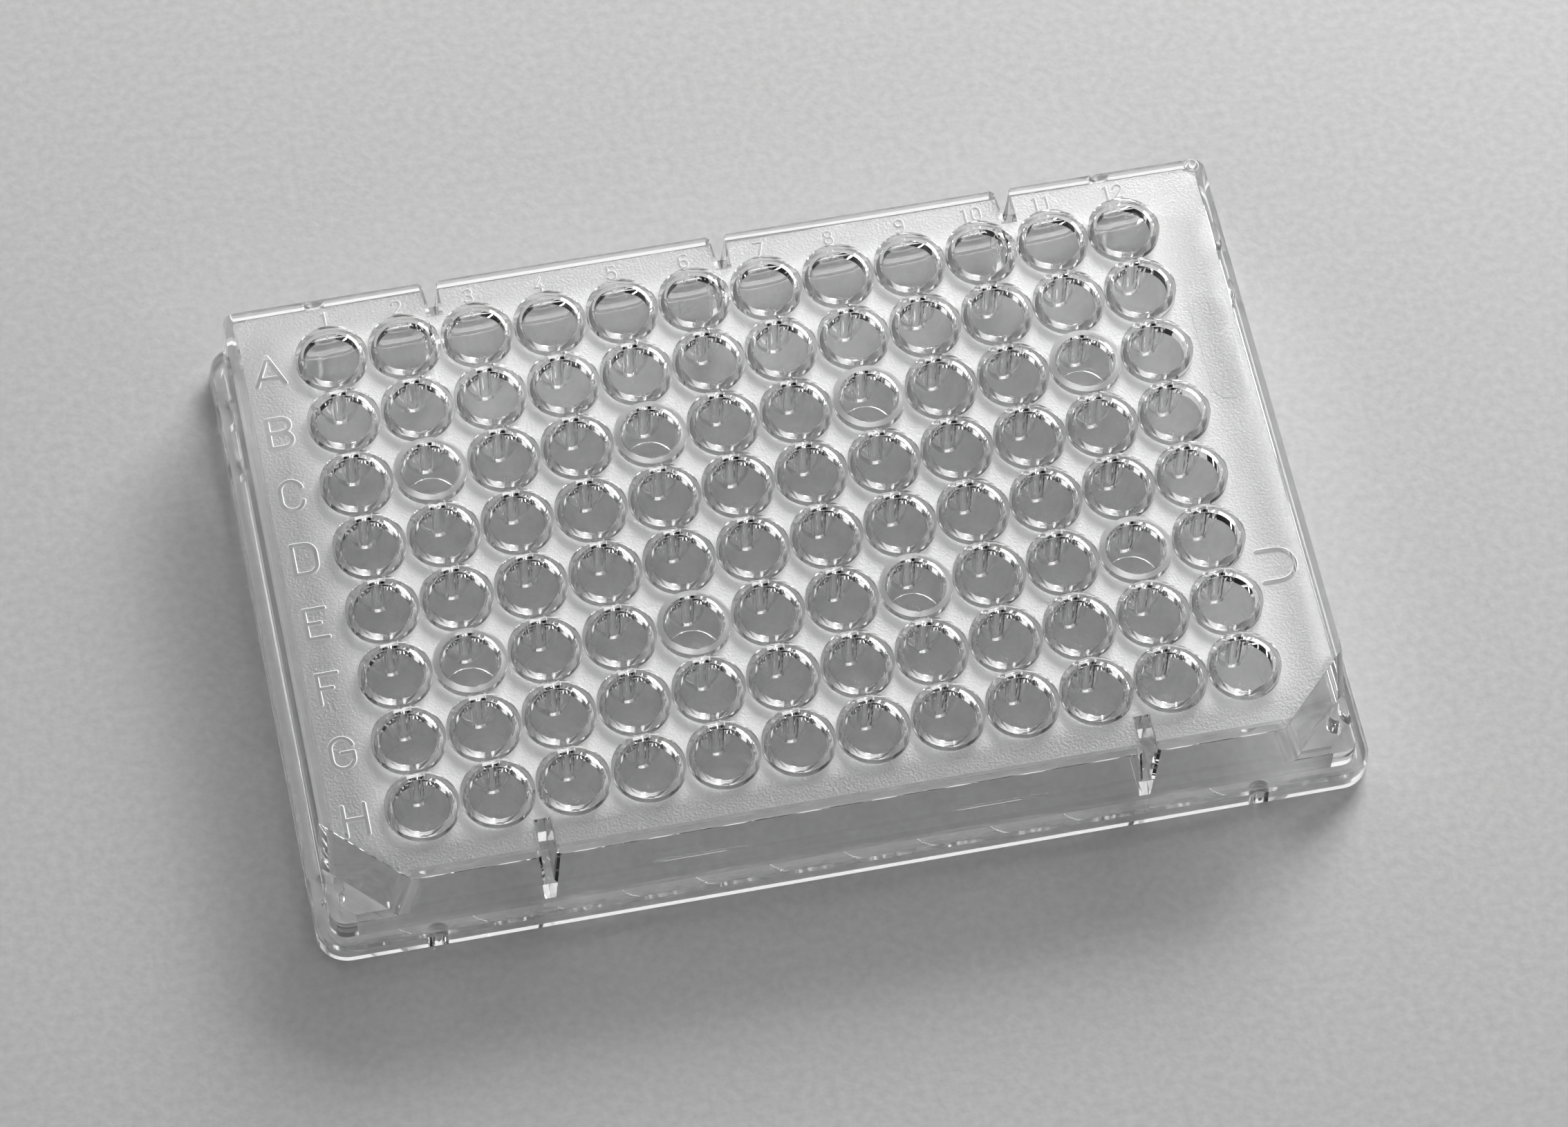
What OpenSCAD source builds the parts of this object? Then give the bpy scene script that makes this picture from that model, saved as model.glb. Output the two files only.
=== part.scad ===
// Clear 96-well plate with round-bottomed wells, moulded in one piece.
// The origin is the middle of the footprint, on the plane the plate stands on.
// +X runs along a row from well 1 to well 12, +Y from row H to row A, +Z up.

/* [Footprint and height] */
// Length of the skirt's foot
plate_l = 127.76; // [122:0.01:134]
// Width of the skirt's foot
plate_w = 85.48; // [81:0.01:91]
// Height of the well rims above the table
plate_h = 14.4; // [13.6:0.1:17]
// Outer corner radius of the skirt's foot
corner_r = 3.8; // [3.7:0.1:5]

/* [Skirt and wall] */
// Height of the foot, from the table to the ledge around the wall
foot_h = 2.8; // [2.4:0.1:4]
// Thickness of the foot
foot_t = 1.3; // [1.1:0.05:1.5]
// Thickness of the ledge between foot and wall
ledge_t = 1.2; // [1:0.05:1.5]
// Bevel along the foot's upper edge
foot_bevel = 0.35; // [0.1:0.05:0.6]
// Distance from the foot's face in to the wall's face, at the ledge
ledge_w = 1.65; // [1.5:0.05:1.9]
// How far the wall leans in between the ledge and the deck
wall_lean = 0.6; // [0.2:0.05:0.7]
// Thickness of the wall at the deck
wall_t = 1.15; // [0.9:0.05:1.3]
// How far the wall's inner face leans out on its way down
core_lean = 0.35; // [0.1:0.05:0.4]

/* [Deck] */
// Height of the well rims above the deck
rim_h = 1; // [0.6:0.1:1.4]
// Thickness of the deck
deck_t = 1; // [0.8:0.1:1.4]

/* [Wells] */
// Distance between the centres of neighbouring wells
pitch = 9; // [8.95:0.01:9.1]
// Wells in a row
columns = 12; // [9:1:12]
// Rows of wells
rows = 8; // [5:1:8]
// Outer diameter of a well's rim
rim_d = 8.86; // [8.5:0.01:8.9]
// Inner diameter of a well under its rim
well_d = 6.9; // [6.5:0.05:7.1]
// Width of the bevel inside the rim
rim_bevel = 0.25; // [0.1:0.05:0.35]
// Depth of a well
well_depth = 10.8; // [9:0.1:11.2]
// Radius of the round bottom of a well
bottom_r = 3.2; // [2.9:0.05:3.25]
// Width of the step around the round bottom of a gated well, where the plastic flowed in
gate_step = 0.12; // [0.05:0.01:0.2]
// Thickness of a tube's wall under the deck
tube_t = 0.65; // [0.5:0.05:0.8]
// Thickness of a tube's round bottom
bottom_t = 0.75; // [0.6:0.05:0.9]
// Width of the rib between two wells of a column
rib_w = 2.1; // [1.2:0.1:2.6]
// Depth of that rib below the deck
rib_depth = 5; // [3:0.1:6]

/* [Cut corners] */
// Length that the cut takes from each wall, at the deck
cut_leg = 9.3; // [7:0.1:10.5]
// Lean of the cut face from upright, in degrees
cut_lean = 12; // [4:1:14]
// Height of the flat step outside the cut
step_z = 5.9; // [5:0.1:8]
// Thickness of the cut face and of its step
cut_t = 1.1; // [0.9:0.05:1.3]
// Leg of the fillet in the corner under the step
gusset_leg = 1.9; // [1.2:0.1:2.4]

/* [Wall folds] */
// Distance of the outer folds from the middle of the plate
fold_x = 36; // [34:0.5:38]
// Width of a fold's slot at the wall, at the deck
slot_w = 1.9; // [1.6:0.1:2.2]
// Width of a front fold's slot at its inner end
front_end_w = 1.7; // [1.2:0.1:1.9]
// Width of a back fold's slot at its inner end
back_end_w = 1; // [0.6:0.1:1.2]
// Bevel at both sides of a fold's mouth in the wall
mouth_bevel = 0.35; // [0.1:0.05:0.5]
// Length of a fold, from the wall's face in
fold_len = 5; // [3.5:0.1:5.2]
// Thickness of a fold's sides
fold_t = 0.5; // [0.4:0.05:0.7]
// Height of a fold's floor
fold_floor = 7.1; // [5.5:0.1:8.5]
// Width of a fold where it meets the ledge
fold_low_w = 1.35; // [1.2:0.05:2]

/* [Ejector pads] */
// Radius of the pads in the foot along the front and back
pad_r = 1.5; // [1.2:0.1:1.8]
// How far those pads stand out of the foot's inner face
pad_out = 0.65; // [0.4:0.05:0.9]
// Distance of those pads from the middle of the plate
pad_x = 49.8; // [46:0.1:52]
// Distance back from the middle of the one pad of that size at each end
side_pad_y = 25.5; // [20:0.1:28]
// Radius of the wide pads in the foot at both ends
end_pad_r = 2.5; // [2:0.1:3]
// How far those pads stand out of the foot's inner face
end_pad_out = 0.9; // [0.5:0.05:1.2]
// Distance of the end pads from the middle of the plate
end_pad_y = 33.5; // [30:0.1:35]
// Radius of the post under each cut corner's step
post_r = 1.1; // [0.8:0.1:1.3]
// Distance of that post from the middle of the plate
post_y = 35.3; // [34:0.1:36]

/* [Grip lines] */
// Length of a raised line on the front wall
line_l = 11.6; // [8:0.1:14]
// Height of a raised line
line_h = 0.45; // [0.3:0.05:0.8]
// How far a raised line stands out
line_out = 0.12; // [0.05:0.01:0.2]
// Distance of a line's middle from the middle of the plate
line_x = 18; // [14:0.1:22]
// Height of the lines above the table
line_z = 8.1; // [7:0.1:10]

/* [Hidden] */
$fn = 64;
deck_z = plate_h - rim_h;
under_z = deck_z - deck_t;
shelf_z = foot_h - ledge_t;
wall_top_in = ledge_w + wall_lean;
inner_top_in = wall_top_in + wall_t;
inner_low_in = inner_top_in - core_lean;
wall_slope = wall_lean / (deck_z - foot_h);
// How far joined shapes run into each other, and how far a cutter runs past a face
overlap = 0.02;
cut_past = 1;
// Side of the block that stands for the whole space beyond a cut face
reach = plate_l;
fold_end_in = wall_top_in + fold_len;
rib_end_in = plate_w / 2 - (rows - 1) / 2 * pitch;
rib_z = under_z - rib_depth;

// Distance from the foot's face in to the wall's outer face at a height
function wall_in(z) = ledge_w + wall_slope * (z - foot_h);

// Distance between the plate's middle and the cut faces, along a diagonal at the deck
cut_reach = (plate_l / 2 + plate_w / 2 - 2 * wall_top_in - cut_leg) / sqrt(2);
// The fillet's face under the step, measured the same way
gusset_reach = (plate_l / 2 + plate_w / 2 - 2 * inner_low_in - gusset_leg) / sqrt(2);
tube_top_r = well_d / 2 + tube_t;
tube_low_r = bottom_r + bottom_t;
bottom_z = plate_h - well_depth + bottom_r;
seat_in = wall_top_in + wall_t / 2;
// Lean of the wall from upright, and of a slot's sides, in degrees
wall_angle = atan(wall_slope);
slot_angle = atan((slot_w / 2 - fold_low_w / 2 + fold_t) / (deck_z - foot_h));

// Half the width of a fold's slot at a distance in from the foot's face
function slot_half(in, end_w) = (slot_w + (end_w - slot_w) * (in - wall_top_in) / fold_len) / 2;

// Gated wells are every third one, from the second column and the third row
function is_gated(column, row) = column % 3 == 1 && row % 3 == 2;

// Section through foot and wall; x is the distance in from the foot's face
module wall_section() {
    polygon([
        [0, 0], [0, foot_h - foot_bevel], [foot_bevel, foot_h], [ledge_w, foot_h],
        [wall_top_in, deck_z], [inner_top_in, deck_z], [inner_top_in, under_z],
        [inner_low_in, shelf_z], [foot_t, shelf_z], [foot_t, 0]
    ]);
}

// A straight run of foot and wall, whose foot's face is `out` from the middle
module straight_wall(length, out) {
    translate([-length / 2, -out, 0])
        rotate([90, 0, 90]) linear_extrude(length) wall_section();
}

// A quarter turn of the same section
module corner_wall() {
    translate([plate_l / 2 - corner_r, plate_w / 2 - corner_r, 0])
        rotate_extrude(angle = 90)
            translate([corner_r, 0]) mirror([1, 0]) wall_section();
}

module surround() {
    for (turn = [0, 180]) {
        rotate(turn) straight_wall(plate_l - 2 * corner_r, plate_w / 2);
        rotate(turn + 90) straight_wall(plate_w - 2 * corner_r, plate_l / 2);
        rotate(turn) corner_wall();
        rotate(turn) mirror([1, 0, 0]) corner_wall();
    }
}

// A block of the plate's outline, drawn in by `inset`, between two heights
module inner_block(inset, from_z, to_z) {
    translate([inset - plate_l / 2, inset - plate_w / 2, from_z])
        cube([plate_l - 2 * inset, plate_w - 2 * inset, to_z - from_z]);
}

// Everything outside a front corner's cut face, moved in by `thick`; side is -1 or 1
module beyond_cut(side, thick) {
    rotate(side < 0 ? -135 : -45)
        translate([cut_reach, 0, deck_z]) rotate([0, -cut_lean, 0])
            translate([-thick, -reach / 2, -reach / 2]) cube(reach);
}

module corner_skin(side) {
    intersection() {
        inner_block(seat_in, step_z - cut_t, deck_z);
        beyond_cut(side, cut_t);
    }
}

module corner_space(side) {
    intersection() {
        translate([-reach, -reach, step_z]) cube(2 * reach);
        beyond_cut(side, 0);
    }
}

// Fillet in the corner under the step, and the post beside it
module corner_support(side) {
    intersection() {
        inner_block(seat_in, shelf_z, step_z - cut_t + overlap);
        rotate(side < 0 ? -135 : -45)
            translate([gusset_reach, -reach / 2, 0]) cube(reach);
    }
    translate([side * (plate_l / 2 - inner_low_in), -post_y, shelf_z - overlap])
        cylinder(h = step_z - cut_t - shelf_z + 2 * overlap, r = post_r);
}

// Plan of a fold from `from_in` inwards; `grow` thickens its sides and its end
module fold_plan(grow, from_in, end_w) {
    wide = slot_half(from_in, end_w) + grow;
    narrow = end_w / 2 + grow;
    end = fold_end_in + grow;
    polygon([[-wide, from_in], [wide, from_in], [narrow, end], [-narrow, end]]);
}

// Front view of a fold, which narrows on its way down to the ledge
module fold_front(grow, from_in, end_w) {
    wide = slot_half(from_in, end_w) + grow;
    low = fold_low_w / 2 - fold_t + grow;
    polygon([[-wide, deck_z], [wide, deck_z], [low, foot_h], [-low, foot_h]]);
}

module fold_shape(grow, from_in, end_w, low, high) {
    end = fold_end_in + grow;
    translate([0, -plate_w / 2, 0]) intersection() {
        translate([0, 0, low]) linear_extrude(high - low) fold_plan(grow, from_in, end_w);
        translate([0, end, 0]) rotate([90, 0, 0])
            linear_extrude(end - from_in) fold_front(grow, from_in, end_w);
    }
}

// The space inside a fold, open at the deck and through the wall
module fold_slot(end_w) {
    fold_shape(0, -cut_past, end_w, fold_floor, deck_z);
    translate([0, -plate_w / 2, deck_z - overlap])
        linear_extrude(cut_past) fold_plan(0, -cut_past, end_w);
    for (side = [-1, 1]) mouth_edge(side);
}

// Cuts the bevel along one edge of a slot's mouth, leaning with the wall and the slot's side
module mouth_edge(side) {
    translate([side * slot_w / 2, wall_top_in - plate_w / 2, deck_z])
        rotate([-wall_angle, side * slot_angle, 0]) translate([0, 0, fold_floor - deck_z])
            linear_extrude(deck_z - fold_floor + cut_past)
                rotate(45) square(sqrt(2) * mouth_bevel, center = true);
}

// The sides of a fold, and the rib from its end to the nearest tubes
module fold_skin(end_w) {
    fold_shape(fold_t, seat_in, end_w, foot_h - overlap, deck_z);
    translate([-back_end_w / 2, fold_end_in - plate_w / 2, rib_z])
        cube([back_end_w, rib_end_in - fold_end_in, rib_depth + overlap]);
}

module at_front_folds() {
    for (x = [-fold_x, fold_x]) translate([x, 0, 0]) children();
}

module at_back_folds() {
    for (x = [-fold_x, 0, fold_x]) translate([x, 0, 0]) rotate(180) children();
}

module tube() {
    rotate_extrude() {
        intersection() {
            translate([0, bottom_z]) circle(tube_low_r);
            translate([0, bottom_z - tube_low_r]) square([tube_low_r, tube_low_r]);
        }
        polygon([
            [0, bottom_z], [tube_low_r, bottom_z], [tube_top_r, under_z + overlap],
            [0, under_z + overlap]
        ]);
    }
    translate([0, 0, under_z + overlap / 2]) cylinder(h = plate_h - under_z - overlap / 2, d = rim_d);
}

// The space inside a tube; `step` widens it around its round bottom
module cavity(step) {
    rotate_extrude() {
        intersection() {
            translate([0, bottom_z]) circle(bottom_r);
            translate([0, bottom_z - bottom_r]) square([bottom_r, bottom_r]);
        }
        polygon([
            [0, bottom_z], [bottom_r + step, bottom_z], [well_d / 2, plate_h - rim_bevel],
            [well_d / 2 + rim_bevel, plate_h], [well_d / 2 + rim_bevel, plate_h + cut_past],
            [0, plate_h + cut_past]
        ]);
    }
}

function well_x(column) = (column - (columns - 1) / 2) * pitch;

function well_y(row) = ((rows - 1) / 2 - row) * pitch;

module tubes() {
    for (c = [0:columns - 1], r = [0:rows - 1]) translate([well_x(c), well_y(r), 0]) tube();
}

module cavities() {
    for (c = [0:columns - 1], r = [0:rows - 1])
        translate([well_x(c), well_y(r), 0]) cavity(is_gated(c, r) ? gate_step : 0);
}

// Ribs that join the tubes of a column, round along their lower edge
module column_ribs() {
    run = (rows - 1) * pitch;
    for (c = [0:columns - 1])
        translate([well_x(c), run / 2, rib_z]) rotate([90, 0, 0]) linear_extrude(run) {
            translate([0, rib_w / 2]) circle(rib_w / 2);
            translate([-rib_w / 2, rib_w / 2]) square([rib_w, rib_depth - rib_w / 2 + overlap]);
        }
}

// A pad in the foot around an upright axis just outside the foot's inner face
module pad(x, y, r) {
    intersection() {
        translate([x, y, 0]) cylinder(h = shelf_z + overlap, r = r);
        inner_block(foot_t / 2, 0, shelf_z + overlap);
    }
}

// The pads' axes lie a little past the foot's faces
module pads() {
    small_past = pad_r - pad_out - foot_t;
    wide_past = end_pad_r - end_pad_out - foot_t;
    for (sx = [-1, 1]) {
        pad(sx * (plate_l / 2 + small_past), side_pad_y, pad_r);
        for (sy = [-1, 1]) {
            pad(sx * pad_x, sy * (plate_w / 2 + small_past), pad_r);
            pad(sx * (plate_l / 2 + wide_past), sy * end_pad_y, end_pad_r);
        }
    }
}

// Raised lines with round ends on the front wall, leaning with it
module grip_lines() {
    for (side = [-1, 1])
        translate([side * line_x, wall_in(line_z) - plate_w / 2, line_z])
            rotate([90 - wall_angle, 0, 0]) translate([0, 0, -line_out])
                linear_extrude(2 * line_out) {
                    square([line_l - line_h, line_h], center = true);
                    for (end = [-1, 1]) translate([end * (line_l - line_h) / 2, 0]) circle(line_h / 2);
                }
}

module plate() {
    color([0.86, 0.88, 0.89, 0.6]) difference() {
        union() {
            surround();
            inner_block(seat_in, under_z, deck_z);
            for (side = [-1, 1]) {
                corner_skin(side);
                corner_support(side);
            }
            at_front_folds() fold_skin(front_end_w);
            at_back_folds() fold_skin(back_end_w);
            tubes();
            column_ribs();
            pads();
            grip_lines();
        }
        cavities();
        for (side = [-1, 1]) corner_space(side);
        at_front_folds() fold_slot(front_end_w);
        at_back_folds() fold_slot(back_end_w);
    }
}

plate();
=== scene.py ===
"""A clear polystyrene well plate on a pale table, dressed around its CAD model."""
import math

import bpy
from mathutils import Matrix, Vector


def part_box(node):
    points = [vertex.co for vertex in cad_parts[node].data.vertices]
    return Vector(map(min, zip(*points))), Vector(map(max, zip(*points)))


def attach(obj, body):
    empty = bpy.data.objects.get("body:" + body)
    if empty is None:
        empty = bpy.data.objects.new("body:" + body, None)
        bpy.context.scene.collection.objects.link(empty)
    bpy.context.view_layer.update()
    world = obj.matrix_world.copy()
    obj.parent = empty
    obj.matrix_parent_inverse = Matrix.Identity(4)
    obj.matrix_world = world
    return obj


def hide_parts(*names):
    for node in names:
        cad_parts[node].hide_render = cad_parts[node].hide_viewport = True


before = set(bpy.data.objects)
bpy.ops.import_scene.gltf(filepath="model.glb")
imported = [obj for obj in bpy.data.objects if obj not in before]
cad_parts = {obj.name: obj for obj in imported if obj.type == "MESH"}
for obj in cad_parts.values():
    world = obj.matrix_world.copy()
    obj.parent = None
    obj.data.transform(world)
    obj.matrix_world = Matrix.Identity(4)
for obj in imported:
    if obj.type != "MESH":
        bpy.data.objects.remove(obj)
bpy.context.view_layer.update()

MM = 0.001

# The camera: its lens and sensor in millimetres, where it stands and looks, and its roll
LENS = 149.6
SENSOR_WIDTH = 36
CAMERA_PLACE = Vector((-94.46, -391.46, 685.55)) * MM
CAMERA_TARGET = Vector((0.64, 0.64, 0)) * MM
CAMERA_ROLL = math.radians(2.29)

# The key lamp: where it stands, how large it is and its power
KEY_PLACE = (0.36, 0.55, 0.36)
KEY_SIZE = (0.4, 0.28)
KEY_POWER = 8.6
# The room: the way to its brightest part, how bright it is there and away from it, what its
# walls add, and how many clear walls light may pass
GLOW_DIRECTION = Vector((0.3, 0.3, 0.9))
ROOM_BRIGHT = 1.12
ROOM_DIM = 0.1
ROOM_WALLS = 0.4
CLEAR_BOUNCES = 20

# The plate's own sizes that the finish follows, in metres
PITCH = 9 * MM
COLUMNS = 12
ROWS = "ABCDEFGH"
RIM_HEIGHT = 1 * MM
RIM_RADIUS = 4.43 * MM
WELL_RADIUS = 3.7 * MM
PLATE_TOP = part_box("plate")[1][2]
DECK_TOP = PLATE_TOP - RIM_HEIGHT
FOLD_X = 36 * MM

# The textured field of the deck: half its length and width, the cut of its far corners,
# and the smooth strips that it leaves around the folds in the walls
FIELD_HALF_LENGTH = 60.2 * MM
FIELD_HALF_WIDTH = 39.2 * MM
FIELD_CORNER_CUT = 1.4 * MM
FOLD_STRIP = 1.03 * MM
FOLD_STRIP_START = 35.5 * MM

# Half the length and width of the block of wells
WELLS_HALF_LENGTH = 54.2 * MM
WELLS_HALF_WIDTH = 36 * MM

# The faces that cut the near corners: the way they face in the right half, and how far out
# they lie; the outer walls around them: their half length and width at the foot, and their lean
CUT_FACING = Vector((0.6916, -0.6916, 0.2079))
CUT_REACH = 66.98 * MM
WALL_HALF_LENGTH = 62.38 * MM
WALL_HALF_WIDTH = 41.24 * MM
WALL_LEAN = 0.056
STEP_TOP = 5.9 * MM

# The marks, in millimetres: the width of their strokes and how far they stand out of the deck
LETTER_STROKE = 0.68
LETTER_RISE = 0.13
NUMERAL_STROKE = 0.36
NUMERAL_RISE = 0.1
LETTER_X = -57.43
NUMERAL_Y = 37.55
DIGIT_STEP = 0.7
# How far some numerals stand off the middle of their columns
NUMERAL_SHIFT = {"1": 0.14, "3": -0.1, "4": -0.3, "5": -0.2, "6": -0.2, "7": 0.3}

# The raised U, the thin pad beyond it and the dot in the far corner, in millimetres too
U_MIDDLE = (56.82, -18.47)
U_RADIUS = 2.18
U_LEG_X = 54.75
PAD_LINE = [(57.235, 7.7), (57.235, 19.14)]
PAD_WIDTH = 4.53
PAD_RISE = 0.04
DOT_LINE = [(60.1, 39.5), (60.1, 39.51)]
DOT_WIDTH = 1.9
DOT_RISE = 0.1

# The plastic: how rough its clear and its textured skin are, the texture's fineness and height,
# and how much white is painted on, as painted light on the deck's field between the wells and as a
# painted highlight on the cut faces' edges
CLEAR_ROUGHNESS = 0.01
TEXTURE_ROUGHNESS = 0.46
PEBBLE_SCALE = 3000
PEBBLE_HEIGHT = 0.14 * MM
DECK_PAINTED_LIGHT = 0.72
CUT_EDGE_PAINTED_HIGHLIGHT = 0.75

# Flat faces this close to the deck's level belong to it
DECK_PLAY = 0.09 * MM
# A face that looks up more steeply than this counts as flat
FLAT = 0.9
# The share of triangles that is kept, and the sharpest bend that is shaded smooth
THINNING = 0.86
SMOOTH_ANGLE = math.radians(30)


def column_x(column):
    return (column - (COLUMNS - 1) / 2) * PITCH


def row_y(row):
    return ((len(ROWS) - 1) / 2 - row) * PITCH


# ---------------------------------------------------------------- camera, table and light

def place_camera():
    """A long lens, looking down at the plate from its front left."""
    data = bpy.data.cameras.new("camera")
    data.lens = LENS
    data.sensor_width = SENSOR_WIDTH
    data.clip_start = 0.05
    camera = bpy.data.objects.new("camera", data)
    bpy.context.scene.collection.objects.link(camera)
    turn = (CAMERA_TARGET - CAMERA_PLACE).to_track_quat("-Z", "Y").to_matrix().to_4x4()
    roll = Matrix.Rotation(CAMERA_ROLL, 4, "Z")
    camera.matrix_world = Matrix.Translation(CAMERA_PLACE) @ turn @ roll
    bpy.context.scene.camera = camera


def let_light_through():
    """Enough bounces, sharp ones too, for light to find its way through the clear walls."""
    cycles = bpy.context.scene.cycles
    cycles.max_bounces = CLEAR_BOUNCES
    cycles.transmission_bounces = CLEAR_BOUNCES
    cycles.diffuse_bounces = 3
    cycles.glossy_bounces = 16
    cycles.blur_glossy = 0


def add_softbox(name, place, size, power):
    """A rectangular lamp that faces the plate."""
    data = bpy.data.lights.new(name, "AREA")
    data.shape = "RECTANGLE"
    data.size, data.size_y = size
    data.energy = power
    lamp = bpy.data.objects.new(name, data)
    bpy.context.scene.collection.objects.link(lamp)
    lamp.location = place
    lamp.rotation_euler = Vector(place).to_track_quat("Z", "Y").to_euler()


def map_range(nodes, links, value, start, end, low, high):
    """A value turned into low up to the start, high past the end, and a slope in between."""
    node = nodes.new("ShaderNodeMapRange")
    node.inputs["From Min"].default_value = start
    node.inputs["From Max"].default_value = end
    node.inputs["To Min"].default_value = low
    node.inputs["To Max"].default_value = high
    links.new(value, node.inputs["Value"])
    return node.outputs["Result"]


def light_room():
    """A ceiling that glows on the right, with pale walls all round."""
    world = bpy.data.worlds.new("studio")
    bpy.context.scene.world = world
    world.use_nodes = True
    nodes, links = world.node_tree.nodes, world.node_tree.links
    nodes.clear()
    coords = nodes.new("ShaderNodeTexCoord")
    towards_glow = nodes.new("ShaderNodeVectorMath")
    towards_glow.operation = "DOT_PRODUCT"
    towards_glow.inputs[1].default_value = GLOW_DIRECTION.normalized()
    links.new(coords.outputs["Generated"], towards_glow.inputs[0])
    ramp = nodes.new("ShaderNodeValToRGB")
    links.new(towards_glow.outputs["Value"], ramp.inputs["Fac"])
    dim, bright = ramp.color_ramp.elements
    dim.position, dim.color = 0.7, (ROOM_DIM, ROOM_DIM, ROOM_DIM, 1)
    bright.position, bright.color = 0.88, (ROOM_BRIGHT, ROOM_BRIGHT, ROOM_BRIGHT, 1)
    height = nodes.new("ShaderNodeSeparateXYZ")
    links.new(coords.outputs["Generated"], height.inputs[0])
    walls = map_range(nodes, links, height.outputs["Z"], 0.3, 0.5, ROOM_WALLS, 0)
    room = nodes.new("ShaderNodeVectorMath")
    room.operation = "ADD"
    links.new(ramp.outputs["Color"], room.inputs[0])
    links.new(walls, room.inputs[1])
    background = nodes.new("ShaderNodeBackground")
    links.new(room.outputs["Vector"], background.inputs["Color"])
    output = nodes.new("ShaderNodeOutputWorld")
    links.new(background.outputs[0], output.inputs["Surface"])


def new_material(name):
    material = bpy.data.materials.new(name)
    material.use_nodes = True
    material.node_tree.nodes.clear()
    return material, material.node_tree.nodes, material.node_tree.links


def show(nodes, links, shader):
    """Make a shader the material's surface."""
    output = nodes.new("ShaderNodeOutputMaterial")
    links.new(shader.outputs[0], output.inputs["Surface"])


def table_paper():
    """Pale grey drawing paper with a faint tooth."""
    material, nodes, links = new_material("table_paper")
    coords = nodes.new("ShaderNodeTexCoord")
    fibre = nodes.new("ShaderNodeTexNoise")
    fibre.inputs["Scale"].default_value = 900
    fibre.inputs["Detail"].default_value = 4
    links.new(coords.outputs["Object"], fibre.inputs["Vector"])
    tone = map_range(nodes, links, fibre.outputs["Fac"], 0.3, 0.7, 0.37, 0.43)
    bump = nodes.new("ShaderNodeBump")
    bump.inputs["Strength"].default_value = 0.3
    bump.inputs["Distance"].default_value = 0.1 * MM
    links.new(fibre.outputs["Fac"], bump.inputs["Height"])
    skin = nodes.new("ShaderNodeBsdfPrincipled")
    skin.inputs["Roughness"].default_value = 0.9
    links.new(tone, skin.inputs["Base Color"])
    links.new(bump.outputs["Normal"], skin.inputs["Normal"])
    show(nodes, links, skin)
    return material


def lay_table():
    """The table's paper, a hair below the plate's foot."""
    bpy.ops.object.select_all(action="DESELECT")
    bpy.ops.mesh.primitive_plane_add(size=4, location=(0, 0, -0.05 * MM))
    table = bpy.context.object
    table.name = "table"
    table.data.materials.append(table_paper())


# ---------------------------------------------------------------- finishes

def sums(nodes, links):
    """Ways to reckon with a material's values: a sum, masks that all hold, and a value's span."""

    def math_node(operation, *values):
        node = nodes.new("ShaderNodeMath")
        node.operation = operation
        for socket, value in zip(node.inputs, values):
            if isinstance(value, (int, float)):
                socket.default_value = value
            else:
                links.new(value, socket)
        return node.outputs[0]

    def all_of(*masks):
        result = masks[0]
        for mask in masks[1:]:
            result = math_node("MULTIPLY", result, mask)
        return result

    def between(value, low, high):
        return all_of(math_node("GREATER_THAN", value, low), math_node("LESS_THAN", value, high))

    return math_node, all_of, between


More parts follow.
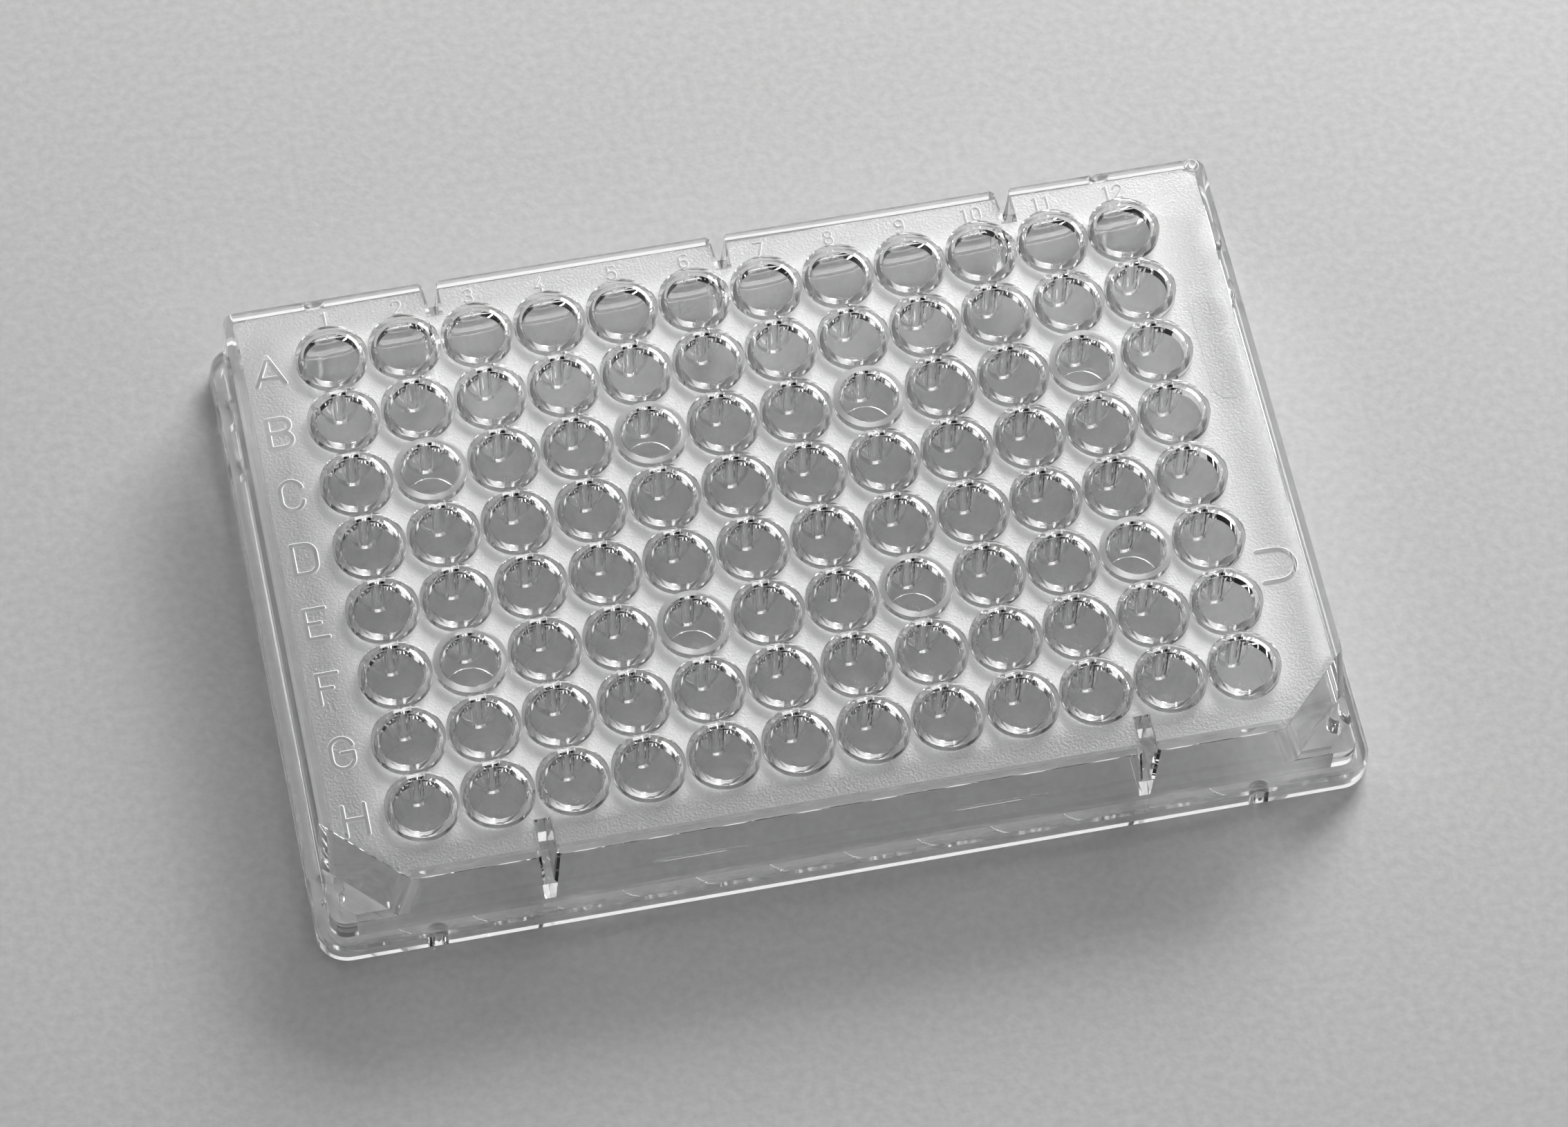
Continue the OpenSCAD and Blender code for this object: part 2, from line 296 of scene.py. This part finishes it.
def moulded_texture():
    """Where the mould was textured: the deck's field, the marks' sides and the gated rims."""
    group = bpy.data.node_groups.new("moulded_texture", "ShaderNodeTree")
    for name, kind in (("Place", "NodeSocketVector"), ("Facing", "NodeSocketVector"),
                       ("Grain", "NodeSocketFloat")):
        group.interface.new_socket(name, in_out="INPUT", socket_type=kind)
    for name in ("Field", "Mark Side", "Frosted", "Height"):
        group.interface.new_socket(name, in_out="OUTPUT", socket_type="NodeSocketFloat")
    nodes, links = group.nodes, group.links
    math_node, all_of, between = sums(nodes, links)
    given = nodes.new("NodeGroupInput")
    place = nodes.new("ShaderNodeSeparateXYZ")
    links.new(given.outputs["Place"], place.inputs[0])
    facing = nodes.new("ShaderNodeSeparateXYZ")
    links.new(given.outputs["Facing"], facing.inputs[0])
    x, y, z = place.outputs
    upward = math_node("GREATER_THAN", facing.outputs["Z"], FLAT)
    out_x = math_node("ABSOLUTE", x)
    out_y = math_node("ABSOLUTE", y)

    # The deck's field, without its far corners and without the strips around the folds
    corner = FIELD_HALF_LENGTH + FIELD_HALF_WIDTH - FIELD_CORNER_CUT
    inside = all_of(math_node("LESS_THAN", out_x, FIELD_HALF_LENGTH),
                    math_node("LESS_THAN", out_y, FIELD_HALF_WIDTH),
                    math_node("LESS_THAN", math_node("ADD", out_x, out_y), corner))
    to_side_fold = math_node("ABSOLUTE", math_node("SUBTRACT", out_x, FOLD_X))
    # The middle fold is at the back only, so in front a metre is added
    to_middle_fold = math_node("ADD", out_x, math_node("LESS_THAN", y, 0))
    to_fold = math_node("MINIMUM", to_side_fold, to_middle_fold)
    strip = all_of(math_node("LESS_THAN", to_fold, FOLD_STRIP),
                   math_node("GREATER_THAN", out_y, FOLD_STRIP_START))
    level = between(z, DECK_TOP - 0.06 * MM, DECK_TOP + DECK_PLAY)
    field = all_of(inside, upward, level, math_node("SUBTRACT", 1, strip))

    # The sloped sides of the marks, in the margin around the wells
    margin = math_node("MAXIMUM", math_node("GREATER_THAN", out_x, WELLS_HALF_LENGTH),
                       math_node("GREATER_THAN", out_y, WELLS_HALF_WIDTH))
    mark_side = all_of(margin, math_node("SUBTRACT", 1, upward),
                       between(z, DECK_TOP + 0.004 * MM, DECK_TOP + 0.16 * MM))

    # The rims of the gated wells, every third one from column 2 and row C
    def from_nearest(value, first):
        """How far a place lies from the nearest gated well's centre, along one axis."""
        shifted = math_node("SUBTRACT", value, first)
        return math_node("PINGPONG", shifted, 1.5 * PITCH)

    off_x = from_nearest(x, column_x(1))
    off_y = from_nearest(y, row_y(2))
    radius = math_node("SQRT", math_node("ADD", math_node("MULTIPLY", off_x, off_x),
                                         math_node("MULTIPLY", off_y, off_y)))
    gated_rim = all_of(between(radius, WELL_RADIUS, RIM_RADIUS), upward,
                       math_node("GREATER_THAN", z, PLATE_TOP - 0.1 * MM))

    pebble = nodes.new("ShaderNodeTexNoise")
    pebble.inputs["Detail"].default_value = 1.5
    links.new(given.outputs["Grain"], pebble.inputs["Scale"])
    links.new(given.outputs["Place"], pebble.inputs["Vector"])
    height = math_node("MULTIPLY", pebble.outputs["Fac"], field)
    frosted = math_node("MAXIMUM", math_node("MAXIMUM", field, gated_rim), mark_side)
    result = nodes.new("NodeGroupOutput")
    for name, value in (("Field", field), ("Mark Side", mark_side), ("Frosted", frosted),
                        ("Height", height)):
        links.new(value, result.inputs[name])
    return group


def pebbled(nodes, links, height, strength):
    """The surface's normal, pebbled by the texture's height."""
    bump = nodes.new("ShaderNodeBump")
    bump.inputs["Strength"].default_value = strength
    bump.inputs["Distance"].default_value = PEBBLE_HEIGHT
    links.new(height, bump.inputs["Height"])
    return bump.outputs["Normal"]


def clear_plastic(nodes, links, texture):
    """The clear plastic with the mould's texture, and the places and masks it is made with."""
    coords = nodes.new("ShaderNodeTexCoord")
    skin = nodes.new("ShaderNodeGroup")
    skin.node_tree = texture
    skin.inputs["Grain"].default_value = PEBBLE_SCALE
    links.new(coords.outputs["Object"], skin.inputs["Place"])
    links.new(coords.outputs["Normal"], skin.inputs["Facing"])
    rough = map_range(nodes, links, skin.outputs["Frosted"], 0, 1,
                      CLEAR_ROUGHNESS, TEXTURE_ROUGHNESS)
    plastic = nodes.new("ShaderNodeBsdfPrincipled")
    plastic.inputs["Base Color"].default_value = (0.99, 0.99, 0.99, 1)
    plastic.inputs["IOR"].default_value = 1.59
    plastic.inputs["Transmission Weight"].default_value = 1
    links.new(rough, plastic.inputs["Roughness"])
    links.new(pebbled(nodes, links, skin.outputs["Height"], 1), plastic.inputs["Normal"])
    return plastic, coords.outputs["Object"], skin.outputs


def clear_polystyrene(texture):
    """The plain clear plastic of most of the plate."""
    material, nodes, links = new_material("clear_polystyrene")
    plastic, _, _ = clear_plastic(nodes, links, texture)
    show(nodes, links, plastic)
    return material


def textured_polystyrene_painted_light(texture):
    """Textured plastic, painted white in places: painted light on the deck between the wells, and
    painted highlights on the marks' frosted sides and the cuts' edges.
    """
    material, nodes, links = new_material("textured_polystyrene_painted_light")
    math_node, all_of, between = sums(nodes, links)
    plastic, position, skin = clear_plastic(nodes, links, texture)
    place = nodes.new("ShaderNodeSeparateXYZ")
    links.new(position, place.inputs[0])
    x, y, z = place.outputs
    out_x = math_node("ABSOLUTE", x)
    out_y = math_node("ABSOLUTE", y)

    def fading(value, start, end, amount):
        """The whole amount up to the start, and nothing past the end."""
        return map_range(nodes, links, value, start, end, amount, 0)

    # Painted light: between the wells the deck is painted white, standing in for the light that the
    # tubes carry up into it, and the white fades out in the margins
    length, width = WELLS_HALF_LENGTH, WELLS_HALF_WIDTH
    painted_tube_light = all_of(skin["Field"],
                     fading(out_x, length - 3 * MM, length + 3 * MM, DECK_PAINTED_LIGHT),
                     fading(out_y, width - 2 * MM, width + 1 * MM, 1))

    # Painted highlight: the upright edges of the near corners' cut faces are painted white where
    # they catch light
    right_half = nodes.new("ShaderNodeCombineXYZ")
    for socket, value in zip(right_half.inputs, (out_x, y, z)):
        links.new(value, socket)
    reach = nodes.new("ShaderNodeVectorMath")
    reach.operation = "DOT_PRODUCT"
    reach.inputs[1].default_value = CUT_FACING
    links.new(right_half.outputs[0], reach.inputs[0])
    lean = math_node("MULTIPLY", z, WALL_LEAN)
    from_wall = math_node("MINIMUM",
                          math_node("SUBTRACT", WALL_HALF_LENGTH, math_node("ADD", out_x, lean)),
                          math_node("SUBTRACT", WALL_HALF_WIDTH, math_node("ADD", out_y, lean)))
    from_cut = math_node("SUBTRACT", CUT_REACH, reach.outputs["Value"])
    from_edge = math_node("MAXIMUM", from_wall, from_cut)
    cut_edge = all_of(fading(from_edge, 0.1 * MM, 1.3 * MM, CUT_EDGE_PAINTED_HIGHLIGHT),
                      between(z, STEP_TOP + 0.05 * MM, DECK_TOP - 0.1 * MM))
    # How much white is painted on: the painted light between the wells, and painted highlights on
    # the marks' frosted sides and the cut faces' edges
    painted_white_amount = math_node("MAXIMUM", math_node("MAXIMUM", painted_tube_light, skin["Mark Side"]), cut_edge)

    # The painted white: mostly thrown back, and some let through
    painted_white_back = nodes.new("ShaderNodeBsdfDiffuse")
    painted_white_through = nodes.new("ShaderNodeBsdfTranslucent")
    fine_grain = pebbled(nodes, links, skin["Height"], 0.4)
    for shader in (painted_white_back, painted_white_through):
        shader.inputs["Color"].default_value = (0.95, 0.95, 0.95, 1)
        links.new(fine_grain, shader.inputs["Normal"])
    painted_white = nodes.new("ShaderNodeMixShader")
    painted_white.inputs["Fac"].default_value = 0.25
    links.new(painted_white_back.outputs[0], painted_white.inputs[1])
    links.new(painted_white_through.outputs[0], painted_white.inputs[2])
    blend = nodes.new("ShaderNodeMixShader")
    links.new(painted_white_amount, blend.inputs["Fac"])
    links.new(plastic.outputs[0], blend.inputs[1])
    links.new(painted_white.outputs[0], blend.inputs[2])
    show(nodes, links, blend)
    return material


# ---------------------------------------------------------------- marks, in millimetres

def arc(x, y, radius, start, end):
    """Points along an arc, with its angles in degrees."""
    steps = max(2, round(abs(end - start) / 12))
    turns = [math.radians(start + (end - start) * step / steps) for step in range(steps + 1)]
    return [(x + radius * math.cos(turn), y + radius * math.sin(turn)) for turn in turns]


def letter_strokes():
    """The strokes of the row letters, around the middle of a letter."""
    top, low = 2, -2.1
    left, right = -1.3, 1.15
    crown = arc(0, 0.67, 1.33, 12, 180)
    return {
        "A": [[(0.19, 1.93), (-1.53, low)], [(0.19, 1.93), (1.93, low)],
              [(-1.15, -1.16), (1.54, -1.16)]],
        "B": [[(left, top), (left, low)],
              [(left, top)] + arc(0.39, 1.01, 0.99, 90, -90) + [(left, 0.02)],
              [(left, 0.02)] + arc(0.37, -1.04, 1.06, 90, -90) + [(left + 0.04, low)]],
        "C": [crown + arc(0, -0.77, 1.33, 180, 352)],
        "D": [[(left, top), (left, low)],
              [(left, top)] + arc(0.15, 0.7, 1.3, 90, 0) + arc(0.15, -0.8, 1.3, 0, -90)
              + [(left + 0.04, low)]],
        "E": [[(left, 1.9), (left, low)], [(left, 1.9), (right, 1.9)],
              [(left, -0.04), (0.43, -0.04)], [(left, low), (right, low)]],
        "F": [[(left, 1.9), (left, low)], [(left, 1.9), (right, 1.9)],
              [(left, -0.04), (0.38, -0.04)]],
        "G": [crown + arc(0, -0.77, 1.33, 180, 360) + [(1.33, -0.02)], [(0, -0.02), (1.33, -0.02)]],
        "H": [[(left, 1.9), (left, low)], [(1.3, 1.9), (1.3, low)], [(left, 0.04), (1.3, 0.04)]],
    }


def numeral_strokes():
    """The strokes of the digits, around the middle of a digit."""
    top, low, side = 0.93, -0.93, 0.5
    return {
        "0": [arc(0, 0.43, side, 0, 180) + [(-side, -0.43)],
              [(side, 0.43)] + arc(0, -0.43, side, 0, -180)],
        "1": [[(0, top), (0, low)], [(-0.3, 0.72), (0, top)]],
        "2": [arc(0, 0.43, side, 170, -30) + [(-side, low)], [(-side, low), (side, low)]],
        "3": [arc(0, 0.47, 0.46, 150, -90), arc(0, -0.45, 0.48, 90, -150)],
        "4": [[(0.3, top), (-side, -0.4)], [(-side, -0.4), (side, -0.4)],
              [(0.25, -0.1), (0.25, low)]],
        "5": [[(-0.4, top), (-0.4, 0.15)], [(-0.4, top), (0.4, top)],
              arc(-0.05, -0.37, 0.56, 125, -150)],
        "6": [arc(0.1, 0.33, 0.6, 60, 180) + [(-side, -0.43)], arc(0, -0.43, side, 180, 0),
              arc(0, -0.43, side, 0, -180)],
        "7": [[(-side, top), (side, top)], [(side, top), (-0.1, low)]],
        "8": [arc(0, 0.48, 0.44, 0, 180), arc(0, 0.48, 0.44, 180, 360),
              arc(0, -0.44, side, 180, 0), arc(0, -0.44, side, 0, -180)],
        "9": [arc(0, 0.43, side, 0, 180), arc(0, 0.43, side, 180, 360),
              [(side, 0.43)] + arc(-0.1, -0.33, 0.6, 0, -120)],
    }


def round_ended(path, width):
    """The outline of a bar with round ends along a path."""
    points = [Vector(point) for point in path]
    ways = [(after - before).normalized() for before, after in zip(points, points[1:])]
    asides = [(before.orthogonal() + after.orthogonal()).normalized() * width / 2
              for before, after in zip(ways[:1] + ways, ways + ways[-1:])]
    turns = [Matrix.Rotation(math.radians(-15 * step), 2) for step in range(1, 12)]
    outline = [point + aside for point, aside in zip(points, asides)]
    outline += [points[-1] + turn @ asides[-1] for turn in turns]
    outline += [point - aside for point, aside in zip(points[::-1], asides[::-1])]
    outline += [points[0] - turn @ asides[0] for turn in turns]
    return outline


def raised_bar(path, width, rise):
    """A bar with sloped sides, half sunk in the deck."""
    curve = bpy.data.curves.new("bar", "CURVE")
    curve.dimensions = "2D"
    curve.fill_mode = "BOTH"
    curve.bevel_depth = rise
    curve.bevel_resolution = 0
    curve.extrude = 0.02
    curve.offset = -rise
    outline = round_ended(path, width)
    spline = curve.splines.new("POLY")
    spline.points.add(len(outline) - 1)
    for point, place in zip(spline.points, outline):
        point.co = (*place, 0, 1)
    spline.use_cyclic_u = True
    bar = bpy.data.objects.new("bar", curve)
    bpy.context.scene.collection.objects.link(bar)
    bpy.ops.object.select_all(action="DESELECT")
    bpy.context.view_layer.objects.active = bar
    bar.select_set(True)
    bpy.ops.object.convert(target="MESH")
    bar.scale = (MM, MM, MM)
    bar.location = (0, 0, DECK_TOP)
    bpy.ops.object.transform_apply()
    bpy.ops.object.mode_set(mode="EDIT")
    bpy.ops.mesh.select_all(action="SELECT")
    bpy.ops.mesh.remove_doubles(threshold=0.001 * MM)
    bpy.ops.mesh.normals_make_consistent(inside=False)
    bpy.ops.object.mode_set(mode="OBJECT")
    return bar


def moved(path, x, y):
    return [(x + px, y + py) for px, py in path]


def mark_layers():
    """The marks' strokes in layers, so that no two strokes of one layer touch."""
    layers = []

    def add(strokes, x, y, width, rise):
        for index, path in enumerate(strokes):
            if index == len(layers):
                layers.append([])
            layers[index].append(raised_bar(moved(path, x, y), width, rise))

    letters = letter_strokes()
    for row, letter in enumerate(ROWS):
        add(letters[letter], LETTER_X, row_y(row) / MM, LETTER_STROKE, LETTER_RISE)
    digits = numeral_strokes()
    for column in range(COLUMNS):
        number = str(column + 1)
        for index, digit in enumerate(number):
            shift = (index - (len(number) - 1) / 2) * 2 * DIGIT_STEP
            x = column_x(column) / MM + (shift + NUMERAL_SHIFT.get(number, 0))
            add(digits[digit], x, NUMERAL_Y, NUMERAL_STROKE, NUMERAL_RISE)
    bow = arc(*U_MIDDLE, U_RADIUS, 90, -90)
    u_mark = [(U_LEG_X, bow[0][1])] + bow + [(U_LEG_X, bow[-1][1])]
    add([u_mark], 0, 0, LETTER_STROKE, LETTER_RISE)
    add([PAD_LINE], 0, 0, PAD_WIDTH, PAD_RISE)
    add([DOT_LINE], 0, 0, DOT_WIDTH, DOT_RISE)
    return layers


# ---------------------------------------------------------------- the plate

def beside_cut_edge(place):
    """Whether a place lies on an upright edge of a near corner's cut face."""
    out_x, out_y = abs(place.x), abs(place.y)
    reach = Vector((out_x, place.y, place.z)).dot(CUT_FACING)
    past_wall = max(out_x - WALL_HALF_LENGTH, out_y - WALL_HALF_WIDTH) + WALL_LEAN * place.z
    return place.z > STEP_TOP - 0.1 * MM and reach > CUT_REACH - 0.1 * MM and past_wall > -0.1 * MM


def takes_texture_or_painted_light(mesh, face):
    """Whether a face lies on the deck's field, on a mark's side or beside a cut face's edge: the
    faces that take the textured plastic with its painted light and painted highlights.
    """
    flat = face.normal.z > FLAT
    above = face.center.z - DECK_TOP
    in_margin = (abs(face.center.x) > WELLS_HALF_LENGTH
                 or abs(face.center.y) > WELLS_HALF_WIDTH)
    on_field = flat and abs(above) < DECK_PLAY
    on_mark = 0 < above < 0.2 * MM and face.normal.z < FLAT and in_margin
    return on_field or on_mark or any(
        beside_cut_edge(mesh.vertices[corner].co) for corner in face.vertices)


def moulded_plate():
    """The plate as one smooth shell: the CAD solid, welded, with its marks."""
    layers = mark_layers()
    bpy.ops.object.select_all(action="DESELECT")
    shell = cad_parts["plate"].copy()
    shell.data = shell.data.copy()
    shell.name = "moulded_plate"
    shell.parent = None
    shell.matrix_world = Matrix.Identity(4)
    bpy.context.scene.collection.objects.link(shell)
    bpy.context.view_layer.objects.active = shell
    shell.select_set(True)
    bpy.ops.object.mode_set(mode="EDIT")
    bpy.ops.mesh.select_all(action="SELECT")
    bpy.ops.mesh.remove_doubles(threshold=0.002 * MM)
    bpy.ops.mesh.customdata_custom_splitnormals_clear()
    bpy.ops.object.mode_set(mode="OBJECT")
    for layer in layers:
        bpy.ops.object.select_all(action="DESELECT")
        for bar in layer:
            bar.select_set(True)
        bpy.context.view_layer.objects.active = layer[0]
        bpy.ops.object.join()
        joining = shell.modifiers.new("marks", "BOOLEAN")
        joining.operation = "UNION"
        joining.solver = "MANIFOLD"
        joining.object = layer[0]
        bpy.context.view_layer.objects.active = shell
        bpy.ops.object.modifier_apply(modifier=joining.name)
        bpy.data.objects.remove(layer[0])
    thinning = shell.modifiers.new("thinning", "DECIMATE")
    thinning.ratio = THINNING
    bpy.ops.object.modifier_apply(modifier=thinning.name)
    bpy.ops.object.select_all(action="DESELECT")
    shell.select_set(True)
    bpy.ops.object.shade_smooth_by_angle(angle=SMOOTH_ANGLE)
    shell.data.materials.clear()
    texture = moulded_texture()
    shell.data.materials.append(clear_polystyrene(texture))
    shell.data.materials.append(textured_polystyrene_painted_light(texture))
    # The field, the marks' sides and the cut edges take the textured plastic, with its painted
    # light and painted highlights
    for face in shell.data.polygons:
        if takes_texture_or_painted_light(shell.data, face):
            face.material_index = 1
    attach(shell, "root")
    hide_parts("plate")


place_camera()
bpy.context.scene.view_settings.view_transform = "Standard"
let_light_through()
light_room()
add_softbox("key_softbox", KEY_PLACE, KEY_SIZE, KEY_POWER)
lay_table()
moulded_plate()
